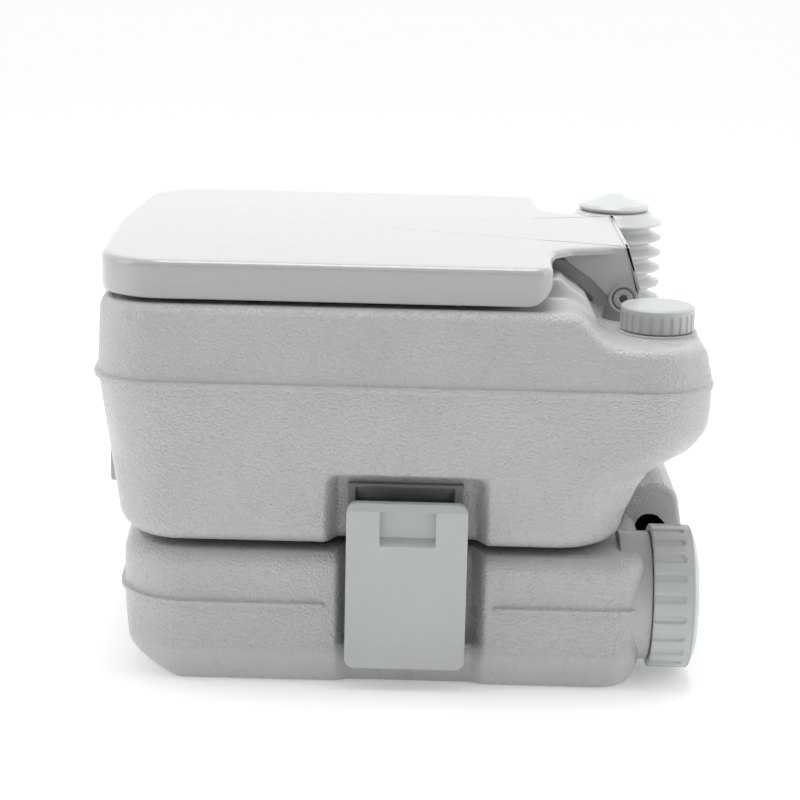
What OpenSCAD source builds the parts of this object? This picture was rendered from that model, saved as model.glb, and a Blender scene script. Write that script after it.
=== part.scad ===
// Portable cassette toilet: flush-water tank with bowl, seat, lid and bellows pump, latched on top of a
// waste holding tank with a slide valve and a screw-capped spout.
// Front is -Y, rear is +Y, up is +Z; the origin is on the floor, in the middle of the footprint.

/* [Tanks] */
// Width of the flush tank at its parting ridge
ridge_w = 362; // [340:1:380]
// Width of the holding tank
base_w = 344; // [336:1:350]
// Height of the holding tank's top deck
base_h = 91; // [88:1:94]
// Wall thickness of both blow-moulded tanks
wall = 3; // [2.5:0.1:3.5]
// Gap between the two tanks
tank_gap = 4.5; // [3:0.1:6]
// Height of the flush tank's deck
deck_z = 257; // [254:1:258]

/* [Slide valve] */
// Radius of the valve's passage
valve_r = 43; // [38:0.5:44]

/* [Bellows pump] */
// Outer radius of the pleats
pleat_r = 37.5; // [32:0.5:38]
// Number of pleats
pleats = 6; // [5:1:6]
// Pitch of the pleats
pleat_pitch = 11.7; // [10:0.1:12]

/* [Caps] */
// Outer radius of the drain cap
drain_cap_r = 49; // [46:0.5:50]
// Outer radius of the filler cap
filler_cap_r = 25; // [24:0.5:26]

/* [Hidden] */
$fn = 64;
eps = 0.01;
far = 300;              // reaches past the whole object
run = 0.3;              // gap between pieces that move past each other

tank_grey = "#d3d4d2";
lid_grey = "#e9eaea";
cap_grey = "#c6c8c7";
insert_grey = "#8f9291";
rubber_black = "#2b2c2d";
hose_clear = "#c9d3d6";
steel = "#9a9da0";

// slide valve, stacked up from the floor of the channel in the holding tank
valve_y = -35;          // centre of the passage
channel_z = base_h - 11;
channel_w = 68;         // half width
blade_z = channel_z + 8 + run;
blade_t = 3;
blade_r = valve_r + 4;
cover_z = channel_z + 8;
cover_top = blade_z + blade_t + run + 4;
seal_top = cover_top + 5.1;
valve_half = 64;
valve_front = -186;
handle_y = [-212, -207]; // front and rear faces of the handle's plate
handle_pin_y = -200;
screw_spots = concat([for (y = [-178, -132, -86, -38], s = [-1, 1]) [s * 58, y]],
    [for (s = [-1, 1]) [s * 30, valve_y + 52]]);

// latches
latch_y = [-34, 46];    // front and rear edges of the plate
latch_z = [16, 130];
latch_x = [174, 182.5]; // inner and outer faces
latch_pivot = [171, 24];
recess_back = 156;      // the flush tank's latch recess
keeper_y = [-34, 43];
keeper_z = [98, 138];
keeper_x = [147, 160.5];
pin_r = 2;

// hinge of the seat and lid
hinge = [151, 249];     // Y and Z
hinge_pin_r = 7;

// pump, filler and spout
pump = [-110, 157.5];
pump_deck = 209.5;
first_pleat = pump_deck + 7.2;  // height of the lowest pleat's edge
bellows_top = first_pleat + (pleats - 0.5) * pleat_pitch + 2.8;
outlet_z = pump_deck - 14.5;
outlet_turn = -54;      // the outlet barb points at the back of the bowl
filler = [108, 171];
shelf_z = 235;
spout = [125, 53];      // X and Z
spout_y = 172;          // where the drain cap starts
neck_end = spout_y + 21;

under_z = base_h + tank_gap;  // the flush tank's underside
bowl_y = -62;

// ---- outlines ----
function arc(c, r, from, to, n = 5) =
    [for (i = [0:n]) let (a = from + (to - from) * i / n) c + r * [cos(a), sin(a)]];

function oval(a, b, n = 40) = [for (i = [0:n - 1]) [b * cos(i * 360 / n), a * sin(i * 360 / n)]];

// Outline seen from above: straight sides, round corners, and a front edge that bows forward.
function plan(w, front, rear, rf, rr, bow) =
    let (lean = atan(2 * bow / (w - rf)), h = w - rf * (1 - sin(lean)), cy = front + bow + rf * cos(lean))
    concat(arc([w - rr, rear - rr], rr, 0, 90), arc([rr - w, rear - rr], rr, 90, 180),
        arc([rf - w, cy], rf, 180, 270 - lean),
        [for (i = [-2:2]) [i * h / 3, front + bow * i * i / 9]],
        arc([w - rf, cy], rf, 270 + lean, 360));

// Moves every side of a counter-clockwise outline inwards by t, or outwards if t is negative.
function inset(p, t) = t == 0 ? p : [for (i = [0:len(p) - 1])
    let (a = p[(i + len(p) - 1) % len(p)], b = p[i], c = p[(i + 1) % len(p)],
        u = (b - a) / norm(b - a), v = (c - b) / norm(c - b),
        m = [-u[1] - v[1], u[0] + v[0]])
    b + m * t / (1 + u * v)];

// A Y-Z outline carried along X from x0 to x1.
module along_x(points, x0, x1) {
    translate([x0, 0, 0]) rotate([90, 0, 90]) linear_extrude(x1 - x0) polygon(points);
}

// An X-Z outline carried along Y from y0 to y1.
module along_y(points, y0, y1) {
    translate([0, y1, 0]) rotate([90, 0, 0]) linear_extrude(y1 - y0) polygon(points);
}

module block(x, y, z) {
    translate([x[0], y[0], z[0]]) cube([x[1] - x[0], y[1] - y[0], z[1] - z[0]]);
}

module tube(outer, inner, z0, z1) {
    difference() {
        translate([0, 0, z0]) cylinder(r = outer, h = z1 - z0);
        translate([0, 0, z0 - 1]) cylinder(r = inner, h = z1 - z0 + 2);
    }
}

module both_sides() {
    children();
    mirror([1, 0, 0]) children();
}

// A round hose swept along its centre line.
module hose(path, r, n = 10) {
    last = len(path) - 1;
    rings = [for (i = [0:last])
        let (d = path[min(i + 1, last)] - path[max(i - 1, 0)], t = d / norm(d),
            s = cross(t, [1, 0.3, 0]), u = s / norm(s), v = cross(t, u))
        each [for (k = [0:n - 1]) path[i] + r * (cos(k * 360 / n) * u + sin(k * 360 / n) * v)]];
    sides = [for (i = [0:last - 1], k = [0:n - 1])
        [i * n + k, i * n + (k + 1) % n, (i + 1) * n + (k + 1) % n, (i + 1) * n + k]];
    polyhedron(rings, concat(sides, [[for (k = [n - 1:-1:0]) k]], [[for (k = [0:n - 1]) last * n + k]]));
}

// Grooves round the side of a cap, open at its lower edge (z = 0) and round at the top.
module grip_grooves(r, count, length, w, depth) {
    for (i = [0:count - 1]) rotate(i * 360 / count) {
        block([r - depth, r + 1], [-w / 2, w / 2], [-1, length]);
        translate([r - depth, 0, length]) rotate([0, 90, 0]) cylinder(d = w, h = depth + 1);
    }
}

// ---- holding tank ----
base_side = concat([[160, 0], [164, 10], [168, 40]], arc([157, 80], 11, 0, 90),
    arc([-181, 79], 12, 90, 180), [[-193, 40], [-188, 18], [-150, 0]]);
base_end = let (w = base_w / 2) concat([[w - 4, 0], [w, 22]], arc([w - 10, base_h - 10], 10, 0, 90),
    arc([10 - w, base_h - 10], 10, 90, 180), [[-w, 22], [4 - w, 0]]);
grip_side = concat([[205, 46], [205, 62], [198.5, 94]], arc([187, 100], 13, 20, 110),
    [[172, 111], [160, 103], [150, 88], [150, 46]]);

module base_form(t) {
    intersection() {
        along_x(inset(base_side, t), -far, far);
        along_y(inset(base_end, t), -far, far);
        linear_extrude(far) polygon(inset(plan(base_w / 2, -193, 168, 48, 34, 5), t));
    }
    along_x(inset(grip_side, t), t - 62, 62 - t);
}

module base_pockets(g) {
    both_sides() {
        block([152 - g, far], [-38 - g, 56 + g], [29 - g, far]);
        block([163 - g, far], [-38 - g, 56 + g], [-1, 30]);
    }
    block([-channel_w - g, channel_w + g], [-far, valve_y + 67 + g], [channel_z - g, far]);
    // finger space under the rear grip
    along_x(inset([[187, 40], [187, 82], [181, 88], [174, 88], [170, 80], [170, 40]], -g), -far, far);
}

module holding_tank() {
    color(tank_grey) difference() {
        union() {
            difference() {
                union() {
                    base_form(0);
                    for (x = [-120, 120], y = [-120, 100])
                        translate([x, y, base_h - 2]) cylinder(r = 10, h = tank_gap + 2 - run);
                }
                difference() {
                    base_form(wall);
                    base_pockets(wall);
                }
                base_pockets(0);
            }
            translate([spout[0], 0, spout[1]]) rotate([-90, 0, 0]) {
                tube(44, 30, 150, spout_y - run);
                tube(40.5, 30, 150, neck_end);
            }
            for (p = screw_spots)
                translate([p[0], p[1], channel_z - 14]) cylinder(r = 4.5, h = 13);
            both_sides() for (y = [-21, 25])
                block([160, latch_pivot[0] + 4], [y, y + 8], [latch_pivot[1] - 4, latch_pivot[1] + 4]);
        }
        translate([0, valve_y, channel_z - 10]) cylinder(r = valve_r + 3.5, h = 20);
        translate([spout[0], 140, spout[1]]) rotate([-90, 0, 0]) cylinder(r = 36, h = 80);
        for (p = screw_spots)
            translate([p[0], p[1], channel_z - 12]) cylinder(r = 2, h = 20);
        both_sides() translate([latch_pivot[0], -30, latch_pivot[1]]) rotate([-90, 0, 0])
            cylinder(r = pin_r, h = 80);
    }
}

// ---- slide valve ----
function valve_outline(r, front) = concat(arc([0, valve_y], r, 0, 180, 16), [[-r, front], [r, front]]);

module valve_gasket() {
    color(rubber_black) translate([0, valve_y, 0]) tube(54, valve_r + 3.2, channel_z, channel_z + 2);
}

module valve_body() {
    color(cap_grey) difference() {
        union() {
            translate([0, 0, channel_z]) linear_extrude(8) polygon(valve_outline(valve_half, valve_front));
            translate([0, valve_y, channel_z - 12]) cylinder(r = valve_r + 3, h = 13);
        }
        translate([0, valve_y, channel_z - 1]) difference() {
            cylinder(r = 54.2, h = 3.1);
            translate([0, 0, -1]) cylinder(r = valve_r + 3, h = 6);
        }
        translate([0, valve_y, 0]) cylinder(r = valve_r, h = far);
        for (p = screw_spots) translate([p[0], p[1], 0]) cylinder(r = 2.2, h = far);
    }
}

module valve_cover() {
    color(cap_grey) difference() {
        translate([0, 0, cover_z]) linear_extrude(cover_top - cover_z)
            polygon(valve_outline(valve_half, valve_front));
        translate([0, 0, cover_z - 1]) linear_extrude(blade_z + blade_t + run - cover_z + 1)
            polygon(valve_outline(blade_r + run, valve_front + 4));
        block([-15 - run, 15 + run], [-far, -150], [cover_z - 1, blade_z + blade_t + run]);
        translate([0, valve_y, 0]) cylinder(r = valve_r, h = far);
        for (p = screw_spots) translate([p[0], p[1], 0]) cylinder(r = 2.2, h = far);
    }
}

module valve_lip_seal() {
    color(rubber_black) translate([0, valve_y, 0]) difference() {
        tube(valve_r + 8, valve_r + 1, cover_top, seal_top);
        translate([0, 0, seal_top - 2]) tube(valve_r + 6, valve_r + 3, 0, 5);
    }
}

module valve_screws() {
    color(steel) for (p = screw_spots) translate([p[0], p[1], 0]) difference() {
        union() {
            translate([0, 0, cover_top]) cylinder(r = 3.8, h = 2.4);
            translate([0, 0, channel_z - 11]) cylinder(r = 1.9, h = cover_top - channel_z + 12);
        }
        for (a = [0, 90]) rotate(a) block([-2.2, 2.2], [-0.4, 0.4], [cover_top + 1, cover_top + 5]);
    }
}

module valve_blade() {
    color(lid_grey) difference() {
        translate([0, 0, blade_z]) linear_extrude(blade_t) polygon(concat(
            arc([0, valve_y], blade_r, 0, 180, 16),
            [[-blade_r, valve_y - blade_r + 8], [8 - blade_r, valve_y - blade_r], [-15, valve_y - blade_r],
             [-15, handle_y[1]], [15, handle_y[1]], [15, valve_y - blade_r], [blade_r - 8, valve_y - blade_r],
             [blade_r, valve_y - blade_r + 8]]));
        translate([0, handle_pin_y, 0]) cylinder(r = pin_r, h = far);
    }
}

module valve_handle() {
    color(cap_grey) difference() {
        union() {
            along_y(concat(arc([23, 115], 7, 0, 90), arc([-23, 115], 7, 90, 180),
                arc([-24, 102], 6, 180, 270), arc([24, 102], 6, 270, 360)), handle_y[0], handle_y[1]);
            block([-20, 20], [handle_y[1] - 1, valve_front - 8.5], [blade_z - 4, 102]);
        }
        block([-15.1, 15.1], [handle_y[1], valve_front], [blade_z - 0.1, blade_z + blade_t + 0.1]);
        translate([0, handle_pin_y, 0]) cylinder(r = pin_r, h = far);
    }
}

module handle_pin() {
    color(steel) translate([0, handle_pin_y, blade_z - 4]) cylinder(r = pin_r - 0.02, h = blade_t + 8);
}

// ---- latches and keepers ----
function plate_outline(y, z, r) = concat(arc([y[1] - r, z[1] - r], r, 0, 90), arc([y[0] + r, z[1] - r], r, 90, 180),
    arc([y[0] + r, z[0] + r], r, 180, 270), arc([y[1] - r, z[0] + r], r, 270, 360));

module latch() {
    pocket_y = [-12, 25];
    pocket_z = [101, 125];
    difference() {
        union() {
            difference() {
                along_x(plate_outline(latch_y, latch_z, 6.5), latch_x[0], latch_x[1]);
                along_x(inset(plate_outline(latch_y, latch_z, 6.5), 2.5), latch_x[0] - 1, latch_x[1] - 3);
            }
            block([latch_x[0], latch_x[1] - 1], pocket_y + [-2.5, 2.5], pocket_z + [-2.5, 2.5]);
            // hook that reaches into the keeper
            along_x(plate_outline([-21, 33], [103, 122], 6), 170, latch_x[0] + 1);
            block([recess_back + 0.8, 172], [-21, 33], [117, 121]);
            along_x(plate_outline([-21, 33], [108, 121], 6), recess_back + 0.8, recess_back + 3);
            // pivot ears
            for (y = [-12.5, 17.5]) {
                block([latch_pivot[0], latch_x[1] - 2], [y, y + 7], [latch_pivot[1] - 4, latch_pivot[1] + 4]);
                translate([latch_pivot[0], y, latch_pivot[1]]) rotate([-90, 0, 0]) cylinder(r = 4, h = 7);
            }
        }
        along_x([[pocket_y[0], pocket_z[1]], [pocket_y[0], pocket_z[0] + 5], [pocket_y[1], pocket_z[0] + 5],
            [pocket_y[1], pocket_z[1]]], latch_x[1] - 6, far);
        translate([0, pocket_y[1], 0]) rotate([90, 0, 0]) linear_extrude(pocket_y[1] - pocket_y[0])
            polygon([[latch_x[1] - 6, pocket_z[0] + 5.1], [latch_x[1] + 1, pocket_z[0] - 0.7],
                [latch_x[1] + 1, pocket_z[0] + 5.1]]);
        // band sloped back along the top edge
        along_y([[latch_x[1] + 0.5, latch_z[1] - 6], [latch_x[1] + 0.5, latch_z[1] + 1.5],
            [latch_x[1] - 3.25, latch_z[1] + 1.5]], -far, far);
        translate([latch_pivot[0], -30, latch_pivot[1]]) rotate([-90, 0, 0]) cylinder(r = pin_r + 0.06, h = 80);
    }
}

module latch_right() {
    color(cap_grey) latch();
}

module latch_left() {
    color(cap_grey) mirror([1, 0, 0]) latch();
}

module latch_pins() {
    color(steel) both_sides() translate([latch_pivot[0], -21, latch_pivot[1]]) rotate([-90, 0, 0])
        cylinder(r = pin_r - 0.01, h = 54);
}

module keeper() {
    open_y = [-29, 37];
    open_z = [104, 125.5];
    difference() {
        block(keeper_x, keeper_y + [0.1, -0.1], keeper_z + [0.1, -0.1]);
        block([keeper_x[0] + 2, far], open_y, open_z);
        // the top and the ends are chamfered inwards; the lower bar is set back behind the hook's path
        along_y([[keeper_x[0] + 5, open_z[1] - 1], [far, open_z[1] - 1], [keeper_x[1] + 1, keeper_z[1] - 1.5],
            [keeper_x[1] - 1, keeper_z[1] - 3]], open_y[0], open_y[1]);
        block([recess_back + 0.5, far], [-far, far], [0, open_z[0] + 1]);
    }
}

module keeper_right() {
    color(insert_grey) keeper();
}

module keeper_left() {
    color(insert_grey) mirror([1, 0, 0]) keeper();
}

// ---- flush tank ----
flush_side = concat(
    arc([136, 109], 13.5, 270, 345), [[152.9, 112], [160.7, 131.8], [169, 146], [181.8, 154], [197.6, 163.6],
    [205.8, 176], [207, 190], [206.5, 212]], arc([189, 220], 15, 10, 90),
    [[146, 235], [138, 236.5], [131, 240], [124, 248], [117, 254.5], [110, deck_z]],
    arc([-198, deck_z - 7], 7, 90, 180), [[-206, 212], [-205.6, 203]], arc([-174, 115.5], 20, 185, 270));
flush_end = concat(arc([155, under_z + 15], 15, 270, 355), [[178, 203], [178.5, 209]],
    arc([165.5, deck_z - 7], 7, 10, 90), arc([-165.5, deck_z - 7], 7, 90, 170), [[-178.5, 209], [-178, 203]],
    arc([-155, under_z + 15], 15, 185, 270));
shoulder_side = [[84, 240], [132, 232], [131, 242], [122.5, 257], [110.5, 265], [105, 270], [92, 270], [84, 262]];
hinge_channel = [[104, 268], [111, 257], [121, 249], [127, 238], [132, 228], [142, 222], [far, 222], [far, far],
    [104, far]];

module flush_form(t) {
    intersection() {
        along_x(inset(flush_side, t), -far, far);
        along_y(inset(flush_end, t), -far, far);
        linear_extrude(far) polygon(inset(plan(ridge_w / 2 - 2.5, -206.5, 207.5, 44, 48, 3), t));
    }
    both_sides() along_x(inset(shoulder_side, t), 74 + t, 118 - t);
}

module bowl(g) {
    hull() {
        translate([0, bowl_y, deck_z + 6]) linear_extrude(1) polygon(oval(122 + g, 98 + g));
        translate([0, bowl_y + 8, 160]) linear_extrude(1) polygon(oval(92 + g, 76 + g));
        translate([0, valve_y, 122 - g]) linear_extrude(1) polygon(oval(valve_r - 1 + g, valve_r - 1 + g));
    }
    translate([0, valve_y, seal_top + run]) cylinder(r = valve_r - 3 + g, h = 28);
}

module flush_pockets(g) {
    along_x(inset(hinge_channel, -g), -77 - g, 77 + g);
    block([-far, -52 + g], [113 - g, far], [pump_deck - g, far]);
    block([-channel_w - 4 - g, channel_w + 4 + g], [-far, valve_y + 75 + g], [0, cover_top + 12 + g]);
    both_sides() {
        block([recess_back - g, far], [-50 - g, 61 + g], [0, 147.5 + g]);
        block([keeper_x[0] - g, far], keeper_y + [-g, g], [keeper_z[0] - g, keeper_z[1] + g]);
    }
}

module hinge_lug() {
    difference() {
        union() {
            along_x([[138, 218], [166, 218], [161, hinge[1]], [141, hinge[1]]], 42, 54);
            translate([42, hinge[0], hinge[1]]) rotate([0, 90, 0]) cylinder(r = 10, h = 12);
        }
        translate([30, hinge[0], hinge[1]]) rotate([0, 90, 0]) cylinder(r = hinge_pin_r + 0.02, h = 40);
    }
}

module flush_tank() {
    color(tank_grey) difference() {
        union() {
            difference() {
                union() {
                    flush_form(0);
                    translate([0, 0, 203.8]) linear_extrude(4)
                        polygon(plan(ridge_w / 2, -208, 208, 46, 50, 3.5));
                }
                difference() {
                    flush_form(wall);
                    flush_pockets(wall);
                    bowl(wall);
                }
                flush_pockets(0);
            }
            translate([0, valve_y, 0]) tube(valve_r + 1.5, valve_r - 10, seal_top + run, cover_top + 13.4);
            both_sides() hinge_lug();
            translate([filler[0], filler[1], 0]) {
                tube(27, 15, shelf_z - 2, shelf_z + 1.2);
                tube(21.5, 15, shelf_z - 4, shelf_z + 13);
            }
        }
        bowl(0);
        translate([filler[0], filler[1], 200]) cylinder(r = 18, h = 60);
        translate([pump[0], pump[1], pump_deck - 10]) cylinder(r = 29, h = 20);
        translate([0, 30, 240]) rotate([-90, 0, 0]) cylinder(r = 6.2, h = 40);
    }
}

// ---- bellows pump ----
module at_pump() {
    translate([pump[0], pump[1], 0]) children();
}

// Turns its children to lie along the outlet barb.
module at_outlet(x) {
    at_pump() rotate(outlet_turn) translate([x, 0, outlet_z]) rotate([0, 90, 0]) children();
}

module pump_base() {
    color(cap_grey) difference() {
        union() {
            at_pump() {
                translate([0, 0, pump_deck]) cylinder(r = 34, h = 1.5);
                translate([0, 0, pump_deck - 24]) cylinder(r = 28.6, h = 25);
                translate([0, 0, pump_deck - 34]) cylinder(r = 4.4, h = 11);
            }
            at_outlet(25) cylinder(r = 4.4, h = 20);
        }
        at_pump() {
            translate([0, 0, pump_deck - 20]) cylinder(r = 25.6, h = 40);
            translate([0, 0, pump_deck - 40]) cylinder(r = 3, h = 30);
        }
        at_outlet(20) cylinder(r = 3, h = 30);
    }
}

module pump_intake_flap() {
    color(rubber_black) at_pump() translate([0, 0, pump_deck - 20 + eps]) {
        cylinder(r = 9, h = 1.4);
        translate([6, 0, 1]) cylinder(r = 2, h = 3);
    }
}

module pump_outlet_flap() {
    color(rubber_black) intersection() {
        at_outlet(20) cylinder(r = 5, h = 10);
        at_pump() tube(25.5, 24.3, outlet_z - 10, outlet_z + 10);
    }
}

module pump_collar() {
    color(cap_grey) at_pump() difference() {
        union() {
            tube(38.5, 34.2, pump_deck, pump_deck + 4.1);
            tube(37, 32.2, pump_deck + 2.9, pump_deck + 4.1);
        }
        for (i = [0:11]) rotate(i * 30) block([37.6, 40], [-1.5, 1.5], [pump_deck + 1, pump_deck + 5]);
    }
}

// One wall of the bellows: a neck under the lowest pleat, then the zig-zag of the pleats.
function bellows_wall(t) = concat([[31 - t, first_pleat - 5.7], [31 - t, first_pleat - 3.3]],
    [for (i = [0:pleats - 1]) each [[pleat_r - t, first_pleat + i * pleat_pitch],
        [30 - t, first_pleat + (i + 0.5) * pleat_pitch]]]);

module pump_bellows() {
    outer = bellows_wall(0);
    inner = bellows_wall(1.6);
    foot = first_pleat - 5.7;
    color(lid_grey) at_pump() rotate_extrude() polygon(concat([[33.8, foot], [33.8, foot + 1.2], [31, foot + 1.2]],
        [for (i = [1:len(outer) - 1]) outer[i]],
        [[24, bellows_top], [0, bellows_top], [0, bellows_top - 1.5], [23, bellows_top - 1.5]],
        [for (i = [len(inner) - 1:-1:0]) inner[i]]));
}

module pump_dome() {
    rim = bellows_top + run;
    color(lid_grey) at_pump() difference() {
        rotate_extrude() polygon([[0, rim], [26, rim], [27, rim + 1], [27, rim + 2.4], [25.5, rim + 4],
            [8, rim + 11], [4, rim + 12.2], [0, rim + 12.6]]);
        translate([0, 0, rim - 1]) cylinder(r = 20, h = 3);
    }
}

module suction_tube() {
    color(hose_clear) difference() {
        hose([[pump[0], pump[1], 185], [pump[0], pump[1], 170], [pump[0], 155.5, 156], [pump[0], 149, 142],
            [pump[0], 138, 131], [pump[0], 128, 121], [pump[0], 122, 111], [pump[0], 120, 103]], 6.2);
        at_pump() translate([0, 0, pump_deck - 38]) cylinder(r = 4.5, h = 20);
    }
}

module suction_strainer() {
    color(cap_grey) translate([pump[0], 120, 0]) difference() {
        translate([0, 0, under_z + wall + run]) cylinder(r = 10, h = 4);
        translate([0, 0, under_z + wall + run + 1.5]) cylinder(r = 8, h = 3);
        for (a = [0:30:150]) rotate(a) block([-far, far], [-0.8, 0.8], [under_z + wall + 1.5, under_z + wall + 3]);
    }
}

function beside_pump(r) = [pump[0] + r * cos(outlet_turn), pump[1] + r * sin(outlet_turn), outlet_z];

module delivery_hose() {
    color(hose_clear) difference() {
        hose([beside_pump(30), beside_pump(48), [-70, 104, 197], [-54, 94, 205], [-36, 90, 218], [-17, 88, 232],
            [-4, 85, 239], [0, 77, 240], [0, 70, 240]], 6.2);
        at_outlet(28) cylinder(r = 4.5, h = 17.2);
        translate([0, 69, 240]) rotate([-90, 0, 0]) cylinder(r = 4.5, h = 9);
    }
}

module flush_nozzle() {
    color(cap_grey) difference() {
        union() {
            translate([0, 48, 240]) rotate([-90, 0, 0]) cylinder(r = 6, h = 18);
            translate([0, 65, 240]) rotate([-90, 0, 0]) cylinder(r = 4.4, h = 12);
            translate([0, 45, 240]) rotate([-90, 0, 0]) cylinder(r = 11, h = 4);
        }
        translate([0, 47, 240]) rotate([-90, 0, 0]) cylinder(r = 3, h = 40);
        block([-8, 8], [40, 47.5], [236, 239]);
    }
}

module nozzle_nut() {
    color(cap_grey) translate([0, 60.5, 240]) rotate([-90, 0, 0]) difference() {
        cylinder(r = 11, h = 4, $fn = 6);
        translate([0, 0, -1]) cylinder(r = 6.1, h = 6);
    }
}

module hose_clips() {
    color(steel) {
        at_pump() tube(7.4, 6.3, pump_deck - 32, pump_deck - 28);
        at_outlet(36) tube(7.4, 6.3, 0, 4);
    }
}

// ---- hinge, seat and lid ----
module hinge_pins() {
    color(cap_grey) both_sides() translate([40, hinge[0], hinge[1]]) rotate([0, 90, 0]) difference() {
        cylinder(r = hinge_pin_r, h = 29.5);
        translate([0, 0, 12]) cylinder(r = 2.8, h = 30);
    }
}

module hinge_bore() {
    translate([30, hinge[0], hinge[1]]) rotate([0, 90, 0]) cylinder(r = hinge_pin_r + 0.06, h = 60);
}

seat_z = [261, 276];

module seat_ring() {
    outline = plan(156, -199, 82, 44, 22, 4);
    color(lid_grey) difference() {
        union() {
            difference() {
                translate([0, 0, seat_z[0]]) linear_extrude(seat_z[1] - seat_z[0]) polygon(outline);
                translate([0, 0, seat_z[0] - 1]) linear_extrude(seat_z[1] - seat_z[0] - 2)
                    difference() {
                        polygon(inset(outline, wall));
                        translate([0, bowl_y]) polygon(oval(118 + wall, 92 + wall));
                    }
                translate([0, bowl_y, 0]) linear_extrude(far) polygon(oval(118, 92));
            }
            both_sides() {
                along_x([[70, 262], [112, 263], [141, hinge[1]], [160, hinge[1] + 4], [155, 259], [118, 275],
                    [70, 275]], 55, 63);
                translate([55, hinge[0], hinge[1]]) rotate([0, 90, 0]) cylinder(r = 10, h = 8);
            }
        }
        both_sides() hinge_bore();
    }
}

module seat_buffers() {
    color(rubber_black) for (x = [-128, 128], y = [-150, 60]) translate([x, y, deck_z + run])
        cylinder(r = 8, h = seat_z[1] - deck_z - 3 - run);
}

lid_top = 286;
skirt_z = 260;
lid_edge = concat([[68, 153], [-68, 153], [-71, 140], [-76, 127], [-80, 113], [-89, 102], [-112, 97]],
    arc([-151, 85], 12, 90, 180), arc([-117, -154], 46, 180, 264),
    [[-70, -205], [0, -208], [70, -205]], arc([117, -154], 46, 276, 360), arc([151, 85], 12, 0, 90),
    [[112, 97], [89, 102], [80, 113], [76, 127], [71, 140]]);
arm_side = concat(arc([151, 249], 10.5, 180, 350), [[163, 256], [153, 284], [104, 284], [104, 280], [112, 272],
    [122, 265], [131, 258], [138, 252]]);

module lid() {
    color(lid_grey) difference() {
        union() {
            difference() {
                union() {
                    translate([0, 0, skirt_z]) linear_extrude(lid_top - 3 - skirt_z) polygon(lid_edge);
                    translate([0, 0, lid_top - 3.01]) linear_extrude(3.01) polygon(inset(lid_edge, 2));
                }
                translate([0, 0, skirt_z - 1]) linear_extrude(lid_top - 3 - skirt_z + 1)
                    polygon(inset(lid_edge, 3));
                // the skirt rises over the tank's shoulders and behind them
                block([-far, far], [99, far], [0, lid_top - 3]);
                both_sides() block([60, 128], [60, 110], [0, 280]);
            }
            both_sides() {
                along_x(arm_side, 64.5, 69.5);
            }
        }
        both_sides() hinge_bore();
    }
}

module lid_buffers() {
    color(rubber_black) for (x = [-118, 118], y = [-150, 50]) translate([x, y, seat_z[1] + run])
        cylinder(r = 6, h = lid_top - 3 - seat_z[1] - run);
}

// ---- screw caps ----
module filler_cap_seal() {
    color(rubber_black) translate([filler[0], filler[1], 0]) tube(21.5, 16, shelf_z + 13 + eps, shelf_z + 14.8);
}

module filler_cap() {
    z = shelf_z + 2;
    color(cap_grey) translate([filler[0], filler[1], z]) difference() {
        rotate_extrude() polygon([[0, 0], [filler_cap_r, 0], [filler_cap_r, 14], [filler_cap_r - 1.5, 15.5],
            [12, 17], [0, 17.3]]);
        translate([0, 0, -1]) cylinder(r = 22.3, h = 13.8 + eps);
        grip_grooves(filler_cap_r, 24, 10, 3.2, 0.9);
    }
}

module on_spout() {
    translate([spout[0], spout_y, spout[1]]) rotate([-90, 0, 0]) children();
}

module drain_cap_seal() {
    color(rubber_black) on_spout() tube(40.5, 34, neck_end - spout_y + eps, neck_end - spout_y + 2.4);
}

module drain_cap() {
    color(cap_grey) on_spout() difference() {
        rotate_extrude() polygon([[0, 0], [drain_cap_r, 0], [drain_cap_r, 24], [drain_cap_r - 3, 28],
            [drain_cap_r - 12, 30.5], [0, 31.5]]);
        translate([0, 0, -1]) cylinder(r = 44.4, h = 8);
        translate([0, 0, -1]) cylinder(r = 42.3, h = neck_end - spout_y + 3.4 + eps);
        grip_grooves(drain_cap_r, 22, 18, 6, 1.4);
    }
}

holding_tank();
valve_gasket();
valve_body();
valve_cover();
valve_lip_seal();
valve_screws();
latch_pins();
valve_blade();
valve_handle();
handle_pin();
latch_left();
latch_right();
drain_cap_seal();
drain_cap();
flush_tank();
keeper_left();
keeper_right();
hinge_pins();
pump_base();
pump_intake_flap();
pump_outlet_flap();
pump_collar();
pump_bellows();
pump_dome();
suction_tube();
suction_strainer();
delivery_hose();
flush_nozzle();
nozzle_nut();
hose_clips();
seat_ring();
seat_buffers();
lid();
lid_buffers();
filler_cap_seal();
filler_cap();
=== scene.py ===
import bmesh
import bpy
import numpy as np
from mathutils import Matrix, Vector


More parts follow.
